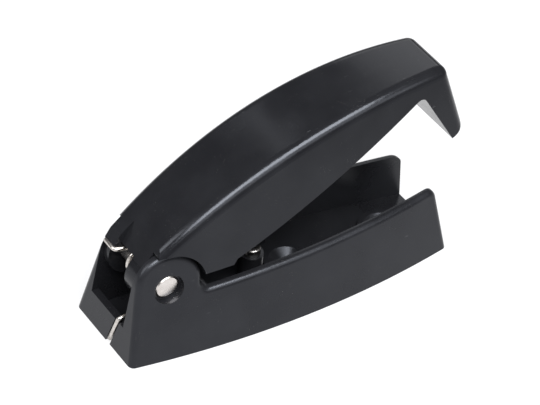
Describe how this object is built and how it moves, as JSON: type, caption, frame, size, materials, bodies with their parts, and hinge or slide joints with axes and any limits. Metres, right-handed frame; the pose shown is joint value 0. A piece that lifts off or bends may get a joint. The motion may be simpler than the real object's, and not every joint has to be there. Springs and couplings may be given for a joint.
{
  "type": "compartment door catch",
  "caption": "Sprung catch for a compartment door: a hooked arm turns on a pin in a screw-down channel base and closes under a torsion spring.",
  "frame": {"origin": "midway between the two mounting screw holes, on the flat mounting face", "axes": "+X along the catch towards the hook, +Y across it, +Z away from the mounting face"},
  "size_m": [0.0831, 0.0286, 0.0501],
  "materials": {
    "base_plastic": "satin black moulded plastic",
    "arm_plastic": "glossy black moulded plastic",
    "pin_steel": "bright plated steel",
    "spring_steel": "bright drawn spring wire",
    "screw_steel": "plated steel"
  },
  "bodies": {
    "base": {"catch_base": "base_plastic", "pivot_pin": "pin_steel", "torsion_spring": "spring_steel", "stop_screw": "screw_steel"},
    "arm": {"hook_arm": "arm_plastic"}
  },
  "joints": [
    {"name": "arm_pivot", "type": "hinge", "parent": "base", "child": "arm", "pos_m": [-0.0498, 0, 0.017], "axis": [0, -1, 0], "range_deg": [0, 60], "stiffness_Nm_per_rad": 0.27, "springref_deg": -57.3, "deforming": ["torsion_spring"]}
  ]
}
